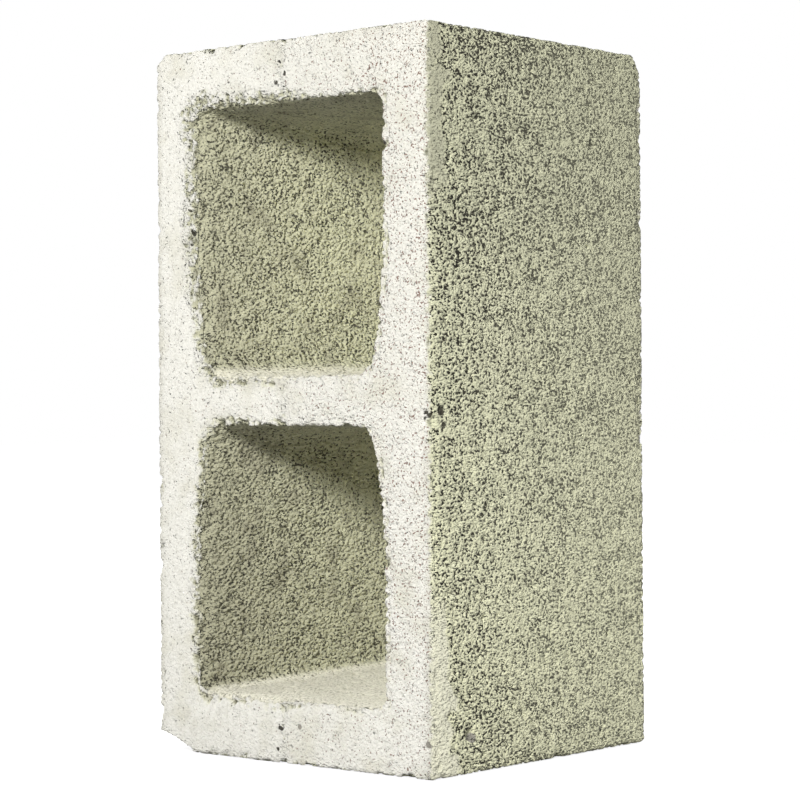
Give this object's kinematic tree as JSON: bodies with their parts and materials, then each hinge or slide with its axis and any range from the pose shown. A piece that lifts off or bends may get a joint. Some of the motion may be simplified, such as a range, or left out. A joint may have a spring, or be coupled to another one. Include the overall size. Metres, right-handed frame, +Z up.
{
  "type": "hollow concrete block",
  "caption": "Hollow concrete block standing on end, with tapered pear-shaped cores through it, thick webs and shells and rough open-grained faces, laid in mortar to build walls.",
  "frame": {"origin": "middle of the end face that the block stands on, at floor level", "axes": "+Z up along the block's length, +X across its width, +Y along the cores from their wide mouths to their narrow ones"},
  "size_m": [0.2, 0.19, 0.39],
  "materials": {
    "concrete": "bare open-textured concrete: granular on the moulded faces and in the cores, paler and closer on the cored faces"
  },
  "bodies": {
    "root": {"concrete_block": "concrete"}
  },
  "joints": []
}
